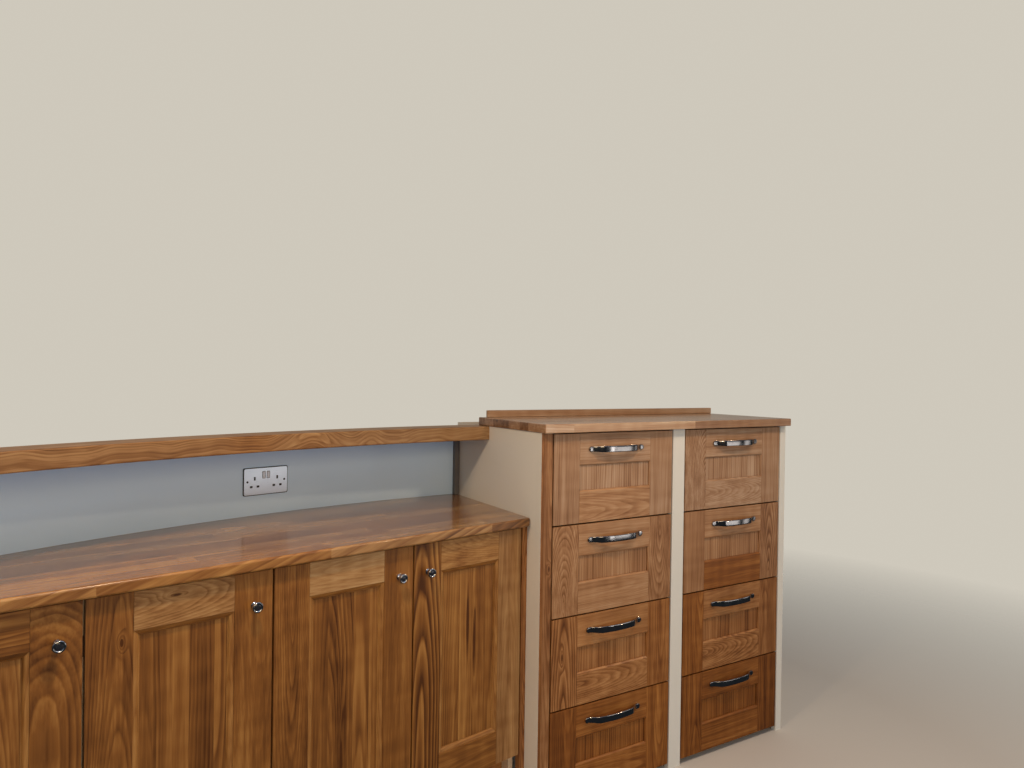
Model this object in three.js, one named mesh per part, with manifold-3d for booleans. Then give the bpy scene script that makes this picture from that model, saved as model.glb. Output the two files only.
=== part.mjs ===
// A fitted cabin furniture run from a barge: a low run of four cupboards under an oak worktop,
// scribed to the curve of the hull, and a taller chest of eight drawers that stands at its right end.
// Millimetres, +Z up, floor at z = 0. X runs to the right along the chest's front, Y runs back to the hull.

import * as THREE from 'three';
import { mergeVertices } from 'three/addons/utils/BufferGeometryUtils.js';
import Module from 'manifold-3d';

const wasm = await Module();
wasm.setup();

// Stock sizes
const BOARD = 18;            // carcass panels
const PLY = 12;              // back panels
const FRONT = 20;            // frames of doors and drawer fronts
const WORKTOP = 28;          // both worktops
const SEAT = 0.3;            // clearance where one piece rests on another
const REVEAL = 5;            // gap round a door or a drawer front
const EASE = 3;              // rounding of a worktop's or ledge's edges

// Chest of drawers, left end at x = 0, drawer fronts in the plane y = 0
const CHEST = { width: 1134, depth: 578, under: 1185, nose: 26, overhang: 4 };
const STILE = 42;            // oak stile on the chest's left side
const STRIP = 54;            // painted strip between the two columns of drawers
const COLUMN = 504;          // opening for one column of drawers
const BASE_SET_BACK = 45;    // base board, behind the drawer fronts
const UPSTAND = { y: 386, thick: 18, height: 24, inset: 23 };

// Drawers
const DRAWER = { bottom: 21, pitch: 291, height: 286, frame: 99, sunk: 9 };
const BOX = { wall: 12, depth: 450, height: 200, rise: 30, side: 8 };
const RUNNER = { height: 18, reach: 22, setBack: 25 };
const TRAVEL_END = 20;       // runners stop this far in front of the chest's back

// Cupboard run: its front is turned out from the chest's front
const TURN = THREE.MathUtils.degToRad(9.4);
const RUN = { y: 54.4, floor: 166, top: 887, end: 1612, worktopEnd: 1627, corner: 12 };
const DOOR = { first: 20, width: 398, bottom: 168, top: 882, face: 20 };
const DOOR_FRAME = { stile: 90, topRail: 84, bottomRail: 100 };
const HINGE = { width: 16, height: 44, fromEnd: 80 };
const MOULD = { width: 14, depth: 9 };  // bevel round a door's panel, inside the frame's joint lines
const PANEL = { thick: 7, lap: 9, sunk: 10 };
const PLINTH = { face: 75, thick: 18 };
const KNOB = { radius: 13.5, rim: 1, foot: 8.5, neck: 5, reach: 27, inset: 44, z: 803 };

// Inner face of the hull: an arc seen from above, with its centre on the cabin side
const HULL = { x: 60, y: -2572, face: 3150, ledge: 2904 };
const LEDGE = { top: 1184.7, thick: 47, nose: 100, rebate: 16 };
const BATTEN = 19;
const SOCKET = { width: 146, height: 86, thick: 5, x: -719, z: 1021, corner: 5 };
const ROCKER = { width: 9, fromMiddle: 7.3, low: 8, high: 30, proud: 3 };

// Handles of the drawers
const HANDLE = {
  length: 228, width: 18, thick: 5, rise: 29, pad: 15, slope: 42, drop: 54,
  bow: 2, foot: 16, knee: 20, round: 1.5,
};

const ARC_STEPS = 28;

const OAK = { color: 0xb9854f, roughness: 0.38, metalness: 0 };
const DARK_OAK = { color: 0x6b4a2e, roughness: 0.4, metalness: 0 };
const CREAM = { color: 0xe4dccb, roughness: 0.5, metalness: 0 };
const BIRCH = { color: 0xd8bd93, roughness: 0.6, metalness: 0 };
const PEWTER = { color: 0x8d8780, roughness: 0.3, metalness: 1 };
const STEEL = { color: 0xb4b2ad, roughness: 0.35, metalness: 1 };

// Solids

function toSolid(geometry) {
  const bare = geometry.clone();
  bare.deleteAttribute('normal');
  bare.deleteAttribute('uv');
  const merged = mergeVertices(bare, 1e-3);
  return new wasm.Manifold(new wasm.Mesh({
    numProp: 3,
    vertProperties: new Float32Array(merged.attributes.position.array),
    triVerts: new Uint32Array(merged.index.array),
  }));
}

function toGeometry(solid) {
  const mesh = solid.getMesh();
  const geometry = new THREE.BufferGeometry();
  geometry.setAttribute('position', new THREE.BufferAttribute(mesh.vertProperties, 3));
  geometry.setIndex(new THREE.BufferAttribute(mesh.triVerts, 1));
  geometry.computeVertexNormals();
  return geometry;
}

function join(first, ...rest) {
  return toGeometry(rest.reduce((sum, next) => sum.add(toSolid(next)), toSolid(first)));
}

function cut(first, ...rest) {
  return toGeometry(rest.reduce((left, next) => left.subtract(toSolid(next)), toSolid(first)));
}

function board(x0, x1, y0, y1, z0, z1) {
  const box = new THREE.BoxGeometry(x1 - x0, y1 - y0, z1 - z0);
  return box.translate((x0 + x1) / 2, (y0 + y1) / 2, (z0 + z1) / 2);
}

// A board cut to an outline seen from above, its long edges rounded where round is not 0
function slab(outline, z0, z1, round = 0) {
  const geometry = new THREE.ExtrudeGeometry(outline, {
    depth: z1 - z0 - 2 * round,
    curveSegments: ARC_STEPS,
    bevelEnabled: round > 0,
    bevelThickness: round,
    bevelSize: round,
    bevelOffset: -round,
    bevelSegments: 2,
  });
  return geometry.translate(0, 0, z0 + round);
}

// A hole through a front, wider at the face by flare all round, for a bevelled opening
function flaredHole(x0, x1, z0, z1, y0, y1, flare) {
  const hole = board(x0, x1, y0, y1, z0, z1);
  const place = hole.attributes.position;
  for (let i = 0; i < place.count; i += 1) {
    if (place.getY(i) > (y0 + y1) / 2) continue;
    place.setX(i, place.getX(i) + flare * Math.sign(place.getX(i) - (x0 + x1) / 2));
    place.setZ(i, place.getZ(i) + flare * Math.sign(place.getZ(i) - (z0 + z1) / 2));
  }
  return hole;
}

const cabin = new THREE.Group();
const run = new THREE.Group();
run.position.set(0, RUN.y, 0);
run.rotation.z = TURN;

function add(parent, name, geometry, finish) {
  const mesh = new THREE.Mesh(geometry, new THREE.MeshStandardMaterial(finish));
  mesh.name = name;
  parent.add(mesh);
  return mesh;
}

// The run's own frame: u to the right along its worktop's edge, v back from that edge

function toWorld(u, v) {
  return new THREE.Vector2(u, v).rotateAround(new THREE.Vector2(), TURN).add(new THREE.Vector2(0, RUN.y));
}

const hullInRun = new THREE.Vector2(HULL.x, HULL.y - RUN.y).rotateAround(new THREE.Vector2(), -TURN);

// How far back the hull's arc of a given radius lies at u
function hullDepth(u, radius) {
  return hullInRun.y + Math.sqrt(radius ** 2 - (u - hullInRun.x) ** 2);
}

// Where the chest's side stands, at depth v, with its clearance
function chestSide(v) {
  return (v * Math.sin(TURN) - SEAT) / Math.cos(TURN);
}

function angleAtChest(radius, past = 0) {
  return Math.acos((past - SEAT - HULL.x) / radius);
}

function angleAtEnd(radius, end) {
  const corner = toWorld(-end, hullDepth(-end, radius));
  return Math.atan2(corner.y - HULL.y, corner.x - HULL.x);
}

// A band that follows the hull between two radii, from the run's left end to the chest, and past both
function hullBand(inner, outer, end, past = 0) {
  const band = new THREE.Shape();
  band.absarc(HULL.x, HULL.y, outer, angleAtChest(outer, past), angleAtEnd(outer, end + past), false);
  band.absarc(HULL.x, HULL.y, inner, angleAtEnd(inner, end + past), angleAtChest(inner, past), true);
  return band;
}

// A panel that stands across the run, cut to the hull behind it
function crossPanel(u0, u1, v0, z0, z1) {
  const back = HULL.face - SEAT;
  const outline = new THREE.Shape([
    new THREE.Vector2(u0, v0),
    new THREE.Vector2(u1, v0),
    new THREE.Vector2(u1, hullDepth(u1, back) - SEAT),
    new THREE.Vector2(u0, hullDepth(u0, back) - SEAT),
  ]);
  return slab(outline, z0, z1);
}

// Chest of drawers

const columnStarts = { left: STILE, right: STILE + COLUMN + STRIP };
const chestBody = { front: FRONT + SEAT, back: CHEST.depth, top: CHEST.under - SEAT };
const middle = STILE + COLUMN + STRIP / 2;
const worktopBack = UPSTAND.y + UPSTAND.thick;

// The bars under the drawers, fixed to a panel between x0 and x1
function runnerBars(x0, x1) {
  const bars = [];
  for (let row = 0; row < 4; row += 1) {
    const top = DRAWER.bottom + row * DRAWER.pitch + BOX.rise - SEAT;
    bars.push(board(x0, x1, RUNNER.setBack, chestBody.back - TRAVEL_END, top - RUNNER.height, top));
  }
  return bars;
}

function chestSideLeft() {
  const panel = board(0, BOARD, chestBody.front, chestBody.back, 0, chestBody.top);
  return join(panel, ...runnerBars(BOARD - 1, STILE + RUNNER.reach));
}

function chestDivider() {
  const half = BOARD / 2;
  const back = chestBody.back - PLY - SEAT;
  const panel = board(middle - half, middle + half, chestBody.front, back, 0, chestBody.top);
  const reach = STRIP / 2 + RUNNER.reach;
  const notch = board(middle - BOARD, middle + BOARD, worktopBack, chestBody.back,
    chestBody.top - PLY - SEAT, chestBody.top + 1);
  return cut(join(panel, ...runnerBars(middle - reach, middle + reach)), notch);
}

function chestSideRight() {
  const edge = columnStarts.right + COLUMN;
  const panel = board(CHEST.width - BOARD, CHEST.width, 0, chestBody.back, 0, chestBody.top);
  const strip = board(edge, CHEST.width, 0, FRONT, 0, chestBody.top);
  return join(panel, strip, ...runnerBars(edge - RUNNER.reach, CHEST.width - BOARD + 1));
}

// The worktop ends behind the upstand, and a top panel closes the chest behind it
function chestWorktop() {
  const outline = new THREE.Shape([
    new THREE.Vector2(-CHEST.overhang, -CHEST.nose),
    new THREE.Vector2(CHEST.width, -CHEST.nose),
    new THREE.Vector2(CHEST.width, worktopBack),
    new THREE.Vector2(-CHEST.overhang, worktopBack),
  ]);
  return slab(outline, CHEST.under, CHEST.under + WORKTOP, EASE);
}

// The strip that stands on the chest's worktop, rounded at its left end
function chestUpstand() {
  const foot = CHEST.under + WORKTOP + SEAT;
  const end = UPSTAND.thick / 2;
  const outline = new THREE.Shape();
  outline.moveTo(CHEST.width, UPSTAND.y);
  outline.lineTo(CHEST.width, UPSTAND.y + UPSTAND.thick);
  outline.absarc(UPSTAND.inset + end, UPSTAND.y + end, end, Math.PI / 2, 1.5 * Math.PI, false);
  const strip = new THREE.ExtrudeGeometry(outline, {
    depth: UPSTAND.height, curveSegments: 8, bevelEnabled: false,
  });
  return strip.translate(0, 0, foot);
}

function chest() {
  const inner = { x0: BOARD + SEAT, x1: CHEST.width - BOARD - SEAT };
  add(cabin, 'chest_side_left', chestSideLeft(), CREAM);
  add(cabin, 'chest_side_right', chestSideRight(), CREAM);
  add(cabin, 'chest_divider', chestDivider(), BIRCH);
  add(cabin, 'chest_stile_left', board(0, STILE, 0, FRONT, 0, chestBody.top), OAK);
  const strip = board(STILE + COLUMN, columnStarts.right, 0, FRONT, 0, chestBody.top);
  add(cabin, 'chest_strip_middle', strip, CREAM);
  const back = board(inner.x0, inner.x1, chestBody.back - PLY, chestBody.back, 0, chestBody.top);
  add(cabin, 'chest_back', back, BIRCH);
  const top = board(inner.x0, inner.x1, worktopBack + SEAT, chestBody.back - PLY - SEAT,
    chestBody.top - PLY, chestBody.top);
  add(cabin, 'chest_top', top, BIRCH);
  chestBases(inner);
  add(cabin, 'chest_worktop', chestWorktop(), OAK);
  add(cabin, 'chest_upstand', chestUpstand(), OAK);
}

// One base board under each column, between the panels
function chestBases(inner) {
  const half = BOARD / 2 + SEAT;
  const back = chestBody.back - PLY - SEAT;
  const spans = { left: [inner.x0, middle - half], right: [middle + half, inner.x1] };
  for (const [side, [x0, x1]] of Object.entries(spans)) {
    add(cabin, `chest_base_${side}`, board(x0, x1, BASE_SET_BACK, back, 0, BOARD), DARK_OAK);
  }
}

// A framed front with a panel sunk in its middle, in one piece
function drawerFront(x0, z0) {
  const width = COLUMN - 2 * REVEAL;
  const front = board(x0, x0 + width, 0, FRONT, z0, z0 + DRAWER.height);
  const pocket = board(x0 + DRAWER.frame, x0 + width - DRAWER.frame, -1, DRAWER.sunk,
    z0 + DRAWER.frame, z0 + DRAWER.height - DRAWER.frame);
  return cut(front, pocket);
}

// An open box behind the front
function drawerBox(x0, z0) {
  const x1 = x0 + COLUMN - 2 * BOX.side;
  const y0 = FRONT + SEAT;
  const y1 = y0 + BOX.depth;
  const outside = board(x0, x1, y0, y1, z0, z0 + BOX.height);
  const inside = board(x0 + BOX.wall, x1 - BOX.wall, y0 + BOX.wall, y1 - BOX.wall,
    z0 + BOX.wall, z0 + BOX.height + 1);
  return cut(outside, inside);
}

// A strap that lies on the face at both ends and bows out between them, seen from above
function bowHandle(x, z) {
  const half = HANDLE.length / 2;
  const flat = half - HANDLE.pad;
  const crest = flat - HANDLE.slope;
  const outer = HANDLE.rise;
  const inner = HANDLE.rise - HANDLE.thick;
  const { bow, foot, knee, round } = HANDLE;
  const strap = new THREE.Shape();
  const end = HANDLE.thick / 2;
  strap.absarc(-half + end, -end, end, Math.PI, 1.5 * Math.PI, false);
  strap.lineTo(-flat, -HANDLE.thick);
  strap.bezierCurveTo(-flat + foot, -HANDLE.thick, -crest - knee, -outer + bow, -crest, -outer + bow);
  strap.quadraticCurveTo(0, -outer - bow, crest, -outer + bow);
  strap.bezierCurveTo(crest + knee, -outer + bow, flat - foot, -HANDLE.thick, flat, -HANDLE.thick);
  strap.lineTo(half - end, -HANDLE.thick);
  strap.absarc(half - end, -end, end, 1.5 * Math.PI, 2 * Math.PI, false);
  strap.lineTo(half, 0);
  strap.lineTo(flat - 4, 0);
  strap.bezierCurveTo(flat - knee, 0, crest + foot, -inner + bow, crest - 3, -inner + bow);
  strap.quadraticCurveTo(0, -inner - bow, -crest + 3, -inner + bow);
  strap.bezierCurveTo(-crest - foot, -inner + bow, -flat + knee, 0, -flat + 4, 0);
  strap.lineTo(-half, 0);
  const solid = new THREE.ExtrudeGeometry(strap, {
    depth: HANDLE.width - 2 * round, curveSegments: 6, bevelEnabled: true,
    bevelThickness: round, bevelSize: 1, bevelOffset: -1, bevelSegments: 1,
  });
  return solid.translate(x, -SEAT, z - HANDLE.width / 2 + round);
}

function drawers() {
  for (const [column, start] of Object.entries(columnStarts)) {
    for (let row = 1; row <= 4; row += 1) {
      const z0 = DRAWER.bottom + (4 - row) * DRAWER.pitch;
      const name = `drawer_${column}_${row}`;
      add(cabin, `${name}_front`, drawerFront(start + REVEAL, z0), OAK);
      add(cabin, `${name}_box`, drawerBox(start + BOX.side, z0 + BOX.rise), BIRCH);
      const handle = bowHandle(start + COLUMN / 2, z0 + DRAWER.height - HANDLE.drop);
      add(cabin, `${name}_handle`, handle, PEWTER);
    }
  }
}

// Cupboard run

const doorBack = DOOR.face + FRONT;
const runFront = doorBack + REVEAL;
const runTop = RUN.top - SEAT;

// The line between two doors, counted in doors from the run's right end
function hingeLine(doors) {
  return -DOOR.first - doors * DOOR.width;
}

function cupboardWorktop() {
  const back = HULL.face + PLY;
  const outline = new THREE.Shape();
  const left = toWorld(-RUN.worktopEnd, 0);
  outline.moveTo(left.x, left.y);
  const right = toWorld(chestSide(0), 0);
  const start = toWorld(chestSide(0) - RUN.corner, 0);
  const past = new THREE.Vector2(right.x, right.y + RUN.corner);
  const rounding = new THREE.QuadraticBezierCurve(start, right, past);
  for (const point of rounding.getPoints(4)) outline.lineTo(point.x, point.y);
  outline.absarc(HULL.x, HULL.y, back, angleAtChest(back), angleAtEnd(back, RUN.worktopEnd), false);
  return slab(outline, RUN.top, RUN.top + WORKTOP, EASE);
}

// The carcass's floor, with its back edge cut to the hull
function cupboardBottom() {
  const back = HULL.face - 2 * SEAT;
  const left = -RUN.end + BOARD + SEAT;
  const right = -DOOR.first - BOARD - REVEAL - SEAT;
  const points = [new THREE.Vector2(left, runFront), new THREE.Vector2(right, runFront)];
  for (let i = 0; i <= ARC_STEPS; i += 1) {
    const u = right + ((left - right) * i) / ARC_STEPS;
    points.push(new THREE.Vector2(u, hullDepth(u, back)));
  }
  return slab(new THREE.Shape(points), RUN.floor, RUN.floor + BOARD);
}

// Two hinge plates on a panel's front edge, close behind the door that they carry
function hingePlates(u0) {
  const heights = [DOOR.bottom + HINGE.fromEnd, DOOR.top - HINGE.fromEnd - HINGE.height];
  const u1 = u0 + HINGE.width;
  return heights.map((z) => board(u0, u1, doorBack + SEAT, runFront + 1, z, z + HINGE.height));
}

function carcass() {
  const foot = RUN.floor + BOARD + SEAT;
  // columns: name, left edge, lower edge, left edge of its hinge plates, finish
  const panels = [
    ['cupboard_end_left', -RUN.end, 0, -RUN.end + REVEAL, OAK],
    ['cupboard_partition_left', hingeLine(3) - BOARD / 2, foot, hingeLine(3), BIRCH],
    ['cupboard_partition_right', hingeLine(2) - BOARD / 2, foot, hingeLine(2), BIRCH],
    ['cupboard_end_right', -DOOR.first - BOARD - REVEAL, 0, -DOOR.first - HINGE.width - REVEAL, BIRCH],
  ];
  for (const [name, u0, z0, hinge, finish] of panels) {
    const panel = crossPanel(u0, u0 + BOARD, runFront, z0, runTop);
    add(run, name, join(panel, ...hingePlates(hinge)), finish);
  }
  add(run, 'cupboard_bottom', cupboardBottom(), BIRCH);
  const plinth = board(-RUN.end + BOARD + SEAT, -DOOR.first - BOARD - REVEAL - SEAT,
    PLINTH.face, PLINTH.face + PLINTH.thick, 0, RUN.floor - SEAT);
  add(run, 'cupboard_plinth', plinth, OAK);
  add(run, 'cupboard_filler', fillerStrip(), OAK);
  add(cabin, 'cupboard_back', slab(hullBand(HULL.face, HULL.face + PLY, RUN.end), 0, runTop), BIRCH);
  add(cabin, 'cupboard_worktop', cupboardWorktop(), OAK);
}

// Oak strip scribed between the last door and the chest's side
function fillerStrip() {
  const v0 = DOOR.face;
  const v1 = doorBack;
  const outline = new THREE.Shape([
    new THREE.Vector2(-DOOR.first + REVEAL / 2, v0),
    new THREE.Vector2(chestSide(v0), v0),
    new THREE.Vector2(chestSide(v1), v1),
    new THREE.Vector2(-DOOR.first + REVEAL / 2, v1),
  ]);
  return slab(outline, 0, runTop);
}

// The opening that shows a door's panel, inside the bevel
function doorHole(u0, u1) {
  const { stile, topRail, bottomRail } = DOOR_FRAME;
  return {
    u0: u0 + stile + MOULD.width, u1: u1 - stile - MOULD.width,
    z0: DOOR.bottom + bottomRail + MOULD.width, z1: DOOR.top - topRail - MOULD.width,
  };
}

// A door's frame: a hole bevelled at the face, and a rebate behind for the panel
function doorFrame(u0, u1) {
  const hole = doorHole(u0, u1);
  const face = DOOR.face;
  const back = doorBack;
  const through = board(hole.u0, hole.u1, face - 1, back + 1, hole.z0, hole.z1);
  const bevel = flaredHole(hole.u0, hole.u1, hole.z0, hole.z1, face, face + MOULD.depth, MOULD.width);
  const rebate = board(hole.u0 - PANEL.lap, hole.u1 + PANEL.lap, face + PANEL.sunk, back + 1,
    hole.z0 - PANEL.lap, hole.z1 + PANEL.lap);
  return cut(board(u0, u1, face, back, DOOR.bottom, DOOR.top), through, bevel, rebate);
}

function doorPanel(u0, u1) {
  const hole = doorHole(u0, u1);
  const lap = PANEL.lap - SEAT;
  const face = DOOR.face + PANEL.sunk + SEAT;
  return board(hole.u0 - lap, hole.u1 + lap, face, face + PANEL.thick, hole.z0 - lap, hole.z1 + lap);
}

// A turned knob, its foot on the door's face
function knob(u) {
  // columns: radius, distance from the door's face
  const { radius, rim, foot, neck, reach } = KNOB;
  const profile = [
    [0, 0], [foot, 0], [foot, 2.5], [neck, 5], [neck, 12], [foot, 15], [radius - rim, 17.5], [radius, 21],
    [radius - rim, 24.5], [foot, reach - 0.5], [0, reach],
  ];
  const turned = new THREE.LatheGeometry(profile.map(([r, d]) => new THREE.Vector2(r, d)), 20);
  return turned.rotateX(Math.PI).translate(u, DOOR.face - SEAT, KNOB.z);
}

function doors() {
  // columns: number from the left, side of its knob
  const table = [[1, 'right'], [2, 'right'], [3, 'right'], [4, 'left']];
  for (const [number, knobSide] of table) {
    const u0 = hingeLine(5 - number) + REVEAL / 2;
    const u1 = hingeLine(4 - number) - REVEAL / 2;
    add(run, `door_${number}_frame`, doorFrame(u0, u1), OAK);
    add(run, `door_${number}_panel`, doorPanel(u0, u1), OAK);
    add(run, `door_${number}_knob`, knob(knobSide === 'right' ? u1 - KNOB.inset : u0 + KNOB.inset), STEEL);
  }
}

// Hull panel, ledge and fittings above the low worktop

function hullSide() {
  const worktop = RUN.top + WORKTOP;
  const under = LEDGE.top - LEDGE.thick;
  const panel = slab(hullBand(HULL.face, HULL.face + PLY, RUN.worktopEnd), worktop + SEAT, under - SEAT);
  add(cabin, 'hull_panel', panel, CREAM);
  const ledge = slab(hullBand(HULL.ledge, HULL.face + PLY, RUN.worktopEnd), under, LEDGE.top, EASE);
  const rebateFront = HULL.ledge + LEDGE.nose;
  const rebate = slab(hullBand(rebateFront, HULL.face + 2 * PLY, RUN.worktopEnd, PLY),
    LEDGE.top - LEDGE.rebate, LEDGE.top + 1);
  add(cabin, 'ledge', cut(ledge, rebate), OAK);
  const corner = HULL.y + Math.sqrt((HULL.face - SEAT) ** 2 - (BATTEN + HULL.x) ** 2);
  const batten = board(-BATTEN - SEAT, -SEAT, corner - BATTEN, corner, worktop + SEAT, under - SEAT);
  add(cabin, 'corner_batten', batten, DARK_OAK);
  add(cabin, 'socket_plate', socketPlate(), STEEL);
}

// A plate with two switch rockers, fixed flat against the hull panel
function socketPlate() {
  const half = { w: SOCKET.width / 2, h: SOCKET.height / 2 };
  const outline = new THREE.Shape();
  const inset = { w: half.w - SOCKET.corner, h: half.h - SOCKET.corner };
  outline.absarc(inset.w, -inset.h, SOCKET.corner, -Math.PI / 2, 0, false);
  outline.absarc(inset.w, inset.h, SOCKET.corner, 0, Math.PI / 2, false);
  outline.absarc(-inset.w, inset.h, SOCKET.corner, Math.PI / 2, Math.PI, false);
  outline.absarc(-inset.w, -inset.h, SOCKET.corner, Math.PI, 1.5 * Math.PI, false);
  const plate = new THREE.ExtrudeGeometry(outline, {
    depth: SOCKET.thick, curveSegments: 3, bevelEnabled: false,
  });
  const rockers = [-1, 1].map((side) => {
    const middle = side * ROCKER.fromMiddle;
    return board(middle - ROCKER.width / 2, middle + ROCKER.width / 2,
      ROCKER.low, ROCKER.high, SOCKET.thick - 1, SOCKET.thick + ROCKER.proud);
  });
  const fitting = join(plate, ...rockers);
  const turn = Math.asin((HULL.x - SOCKET.x) / HULL.face);
  const sagitta = HULL.face - Math.sqrt(HULL.face ** 2 - half.w ** 2);
  const radius = HULL.face - sagitta - SEAT;
  fitting.rotateX(Math.PI / 2).translate(0, radius, SOCKET.z).rotateZ(turn);
  return fitting.translate(HULL.x, HULL.y, 0);
}

cabin.add(run);
chest();
drawers();
carcass();
doors();
hullSide();

// The whole stands on the floor, centred over the origin
const part = new THREE.Group();
part.add(cabin);
part.updateMatrixWorld(true);
const extent = new THREE.Box3().setFromObject(part, true);
cabin.position.set(-(extent.min.x + extent.max.x) / 2, -(extent.min.y + extent.max.y) / 2, -extent.min.z);

export default part;
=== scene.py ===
# A fitted cabin furniture run: four low cupboards, a ledge above them and a chest of eight drawers.

import math
import random

import bmesh
import bpy
from mathutils import Matrix, Vector


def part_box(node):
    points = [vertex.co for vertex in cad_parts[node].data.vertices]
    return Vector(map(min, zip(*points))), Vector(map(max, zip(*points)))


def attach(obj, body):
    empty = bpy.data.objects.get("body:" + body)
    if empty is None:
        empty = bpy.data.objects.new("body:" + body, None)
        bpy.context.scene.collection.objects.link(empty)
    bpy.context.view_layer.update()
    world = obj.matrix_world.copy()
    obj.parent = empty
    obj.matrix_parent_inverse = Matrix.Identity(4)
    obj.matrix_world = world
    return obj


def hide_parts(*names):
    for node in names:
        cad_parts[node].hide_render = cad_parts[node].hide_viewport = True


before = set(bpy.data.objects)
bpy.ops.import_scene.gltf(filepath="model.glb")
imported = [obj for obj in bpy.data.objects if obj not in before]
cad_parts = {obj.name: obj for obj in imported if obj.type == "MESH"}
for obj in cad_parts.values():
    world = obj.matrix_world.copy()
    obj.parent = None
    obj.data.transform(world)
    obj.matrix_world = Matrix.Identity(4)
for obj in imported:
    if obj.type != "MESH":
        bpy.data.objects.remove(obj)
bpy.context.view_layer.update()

# The view
# The camera stands in the cabin at eye height, to the left of the chest and turned a little to the right, with a
# short lens and the small tilt of a camera held by hand.

CAMERA_PLACE = Vector((-0.938, -2.011, 1.348))
CAMERA_TURN = math.radians(30.86)
CAMERA_PITCH = math.radians(-0.35)
CAMERA_ROLL = math.radians(0.82)
CAMERA_LENS = 24.93
CAMERA_SENSOR = 36.0


def placed(name, data):
    """A new object of the scene."""
    made = bpy.data.objects.new(name, data)
    bpy.context.scene.collection.objects.link(made)
    return made


camera_data = bpy.data.cameras.new("camera")
camera_data.sensor_fit = "HORIZONTAL"
camera_data.sensor_width = CAMERA_SENSOR
camera_data.lens = CAMERA_LENS
camera = placed("camera", camera_data)
camera.matrix_world = (
    Matrix.Translation(CAMERA_PLACE) @ Matrix.Rotation(-CAMERA_TURN, 4, "Z")
    @ Matrix.Rotation(math.pi / 2 + CAMERA_PITCH, 4, "X") @ Matrix.Rotation(CAMERA_ROLL, 4, "Z"))
bpy.context.scene.camera = camera

# Painted panels of the chest
# Birch plywood sides with cream eggshell paint rolled on where they show. The painted strip between the columns
# and the one at the right are fixed to the panels' front edges. Inside, the plywood is bare.

CREAM = (0.79, 0.735, 0.635)
BIRCH_PALE = (0.70, 0.52, 0.33)
BIRCH_DARK = (0.52, 0.34, 0.19)
PAINT_DEEP = 0.001
STRIP_DEEP = 0.0203


def connect(socket, value):
    """Links a socket to a shade or sets it. A colour is given as three numbers."""
    if isinstance(value, Shade):
        value.tree.links.new(value.socket, socket)
    else:
        socket.default_value = (*value, 1) if socket.type == "RGBA" else value


class Shade:
    """One output of a tree's nodes. Arithmetic on it adds Math nodes."""

    def __init__(self, tree, socket=None):
        self.tree = tree
        self.socket = socket

    def node(self, kind, settings, sockets, output=0):
        """Adds a node: first its settings, then the value or the link of each socket."""
        made = self.tree.nodes.new(kind)
        for name, value in settings.items():
            if name == "stops":
                ramp = made.color_ramp.elements
                while len(ramp) < len(value):
                    ramp.new(1)
                for element, (position, *colour) in zip(ramp, value):
                    element.position = position
                    element.color = (*colour, 1)
            else:
                setattr(made, name, value)
        for key, value in sockets.items():
            connect(made.inputs[key], value)
        return Shade(self.tree, made.outputs[output])

    def maths(self, operation, other=0.0):
        return self.node("ShaderNodeMath", {"operation": operation}, {0: self, 1: other})

    def __add__(self, other):
        return self.maths("ADD", other)

    __radd__ = __add__

    def __sub__(self, other):
        return self.maths("SUBTRACT", other)

    def __rsub__(self, other):
        return self.node("ShaderNodeMath", {"operation": "SUBTRACT"}, {0: other, 1: self})

    def __mul__(self, other):
        return self.maths("MULTIPLY", other)

    __rmul__ = __mul__

    def __truediv__(self, other):
        return self.maths("DIVIDE", other)

    def hypot(self, other):
        """How long the line is that goes so far along two axes."""
        return (self * self + other * other).maths("SQRT")

    def within(self):
        """Kept between 0 and 1."""
        return self.node("ShaderNodeClamp", {}, {0: self})

    def axes(self):
        """The three numbers of a vector."""
        parts = self.node("ShaderNodeSeparateXYZ", {}, {0: self})
        return [Shade(self.tree, out) for out in parts.socket.node.outputs]

    def vector(self, x, y, z):
        return self.node("ShaderNodeCombineXYZ", {}, {0: x, 1: y, 2: z})

    def times(self, other):
        """Two vectors or colours multiplied."""
        return self.node("ShaderNodeVectorMath", {"operation": "MULTIPLY"}, {0: self, 1: other})

    def noise(self, x, y, z, detail=1):
        """Noise at a place, its axes scaled first."""
        scaled = self.times((x, y, z))
        return self.node("ShaderNodeTexNoise", {}, {"Vector": scaled, "Scale": 1, "Detail": detail})

    def chance(self):
        """A random number for each whole one."""
        return self.node("ShaderNodeTexWhiteNoise", {"noise_dimensions": "1D"}, {"W": self})

    def from_frame(self, turn, place=(0, 0, 0)):
        """A place as a frame sees it that stands at another and is turned about the z axis."""
        return self.node("ShaderNodeMapping", {"vector_type": "TEXTURE"}, {
            "Vector": self, "Rotation": (0, 0, turn), "Location": place})

    def ramp(self, stops):
        return self.node("ShaderNodeValToRGB", {"stops": stops}, {0: self})

    def blend(self, low, high):
        """Two colours mixed by this number."""
        return self.node("ShaderNodeMix", {"data_type": "RGBA"}, {0: self, 6: low, 7: high}, 2)


def new_material(name):
    """A material with its Principled shader, and the place on a piece that its nodes start from."""
    made = bpy.data.materials.new(name)
    made.use_nodes = True
    tree = made.node_tree
    return made, tree.nodes["Principled BSDF"], Shade(tree).node("ShaderNodeTexCoord", {}, {}, "Object")


def plug(shader, **sockets):
    """Sets or links the shader's sockets, named with underscores for spaces."""
    for key, value in sockets.items():
        connect(shader.inputs[key.replace("_", " ")], value)


def bump(height, distance, strength=1.0):
    return height.node("ShaderNodeBump", {}, {"Height": height, "Distance": distance, "Strength": strength})


def birch_colour(place):
    """Rotary-cut birch: pale, with soft tall figure."""
    figure, fibre = place.noise(16, 16, 2.2, 2), place.noise(420, 420, 14)
    return (figure * 1.3 - 0.3 + fibre * 0.3).within().blend(BIRCH_DARK, BIRCH_PALE)


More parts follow.
